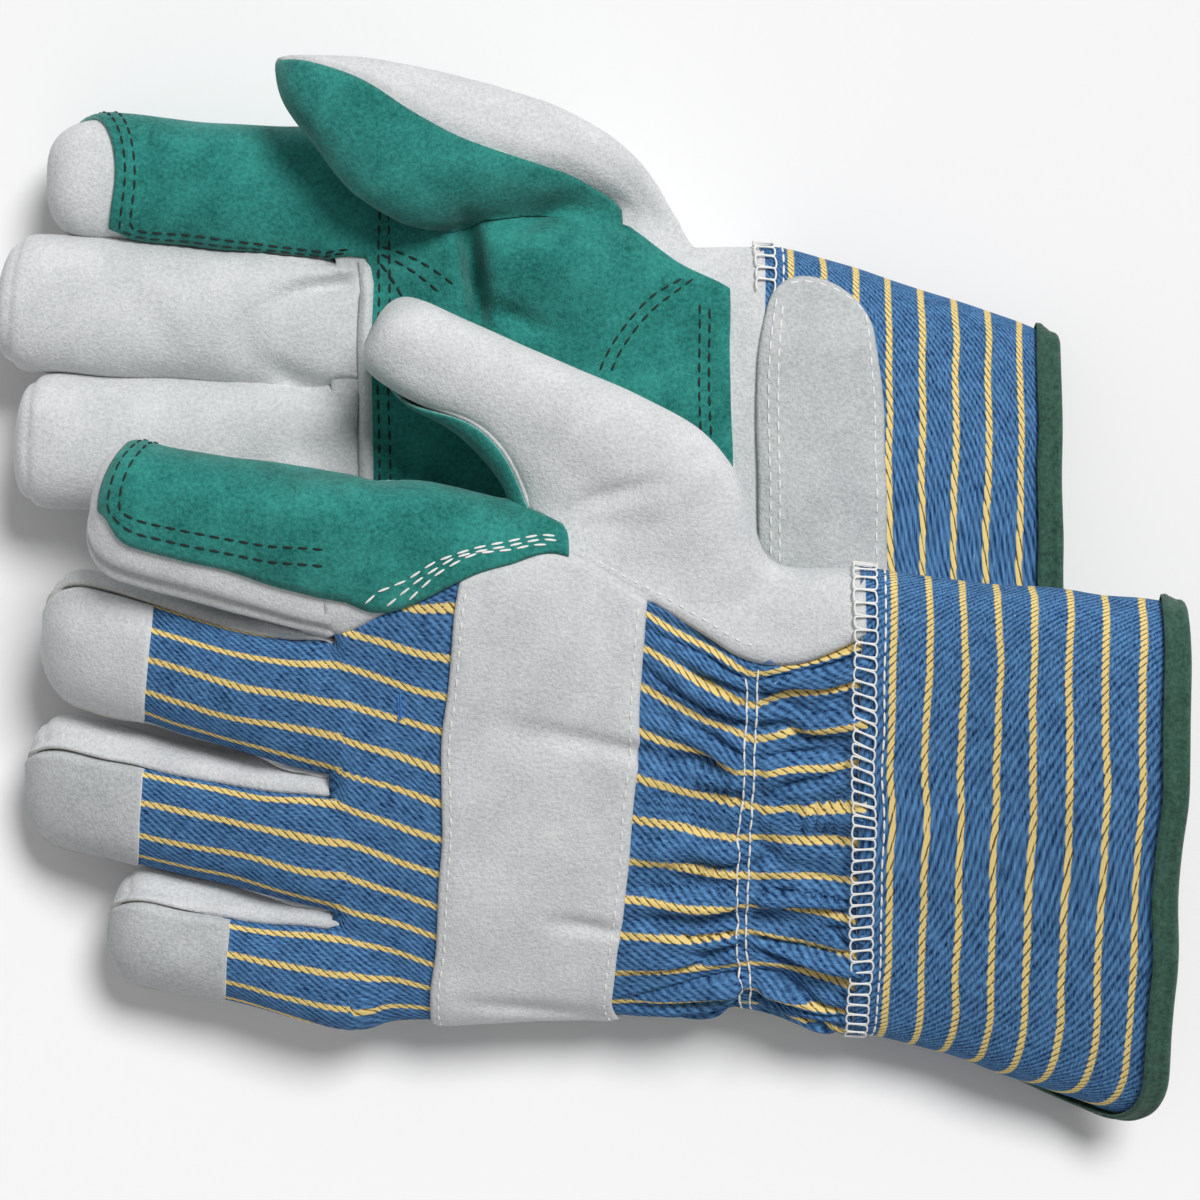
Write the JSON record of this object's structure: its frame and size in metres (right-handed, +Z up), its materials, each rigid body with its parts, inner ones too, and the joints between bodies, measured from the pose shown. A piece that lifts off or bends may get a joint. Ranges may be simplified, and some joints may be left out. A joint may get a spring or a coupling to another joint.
{
  "type": "pair of work gloves",
  "caption": "Pair of leather-palm work gloves with striped canvas backs, suede palm patches, leather knuckle straps and stiff bound safety cuffs.",
  "frame": {"origin": "on the table under the middle of the pair's outline", "axes": "+X from the fingertips towards the cuffs, +Y towards the thumbs, +Z up from the table"},
  "size_m": [0.2388, 0.217, 0.0654],
  "materials": {
    "grey_leather": "napped split leather",
    "green_suede": "suede",
    "striped_canvas": "twill with yellow stripes",
    "fleece": "brushed fleece",
    "elastic": "woven elastic",
    "interlining": "stiffened cloth",
    "binding_tape": "ribbed tape"
  },
  "bodies": {
    "right_glove": {"right_palm_leather": "grey_leather", "right_palm_lining": "fleece", "right_palm_patch": "green_suede", "right_index_leather": "grey_leather", "right_index_patch": "green_suede", "right_middle_front": "grey_leather", "right_ring_front": "grey_leather", "right_little_front": "grey_leather", "right_back_canvas": "striped_canvas", "right_middle_back": "striped_canvas", "right_ring_back": "striped_canvas", "right_little_back": "striped_canvas", "right_middle_tip": "grey_leather", "right_ring_tip": "grey_leather", "right_little_tip": "grey_leather", "right_knuckle_strap": "grey_leather", "right_finger_welt": "grey_leather", "right_wrist_elastic": "elastic", "right_cuff_canvas": "striped_canvas", "right_cuff_backing": "interlining", "right_cuff_binding": "binding_tape", "right_pulse_patch": "grey_leather"},
    "right_thumb": {"right_thumb_back": "grey_leather", "right_thumb_front": "grey_leather", "right_thumb_patch": "green_suede"},
    "left_glove": {"left_palm_leather": "grey_leather", "left_palm_lining": "fleece", "left_palm_patch": "green_suede", "left_index_leather": "grey_leather", "left_index_patch": "green_suede", "left_middle_front": "grey_leather", "left_ring_front": "grey_leather", "left_little_front": "grey_leather", "left_back_canvas": "striped_canvas", "left_middle_back": "striped_canvas", "left_ring_back": "striped_canvas", "left_little_back": "striped_canvas", "left_middle_tip": "grey_leather", "left_ring_tip": "grey_leather", "left_little_tip": "grey_leather", "left_knuckle_strap": "grey_leather", "left_finger_welt": "grey_leather", "left_wrist_elastic": "elastic", "left_cuff_canvas": "striped_canvas", "left_cuff_backing": "interlining", "left_cuff_binding": "binding_tape", "left_pulse_patch": "grey_leather"},
    "left_thumb": {"left_thumb_back": "grey_leather", "left_thumb_front": "grey_leather", "left_thumb_patch": "green_suede"}
  },
  "joints": [
    {"name": "left_glove_lift", "type": "slide", "parent": "right_glove", "child": "left_glove", "axis": [0, 0, 1], "range_m": [0, 0.15]},
    {"name": "right_thumb_swing", "type": "hinge", "parent": "right_glove", "child": "right_thumb", "pos_m": [0.00156, 0.07623, 0.0133], "axis": [1, 0, 0], "range_deg": [0, 30]},
    {"name": "left_thumb_swing", "type": "hinge", "parent": "left_glove", "child": "left_thumb", "pos_m": [0.0135, 0.00532, 0.0501], "axis": [1, 0, 0], "range_deg": [0, 30]}
  ]
}
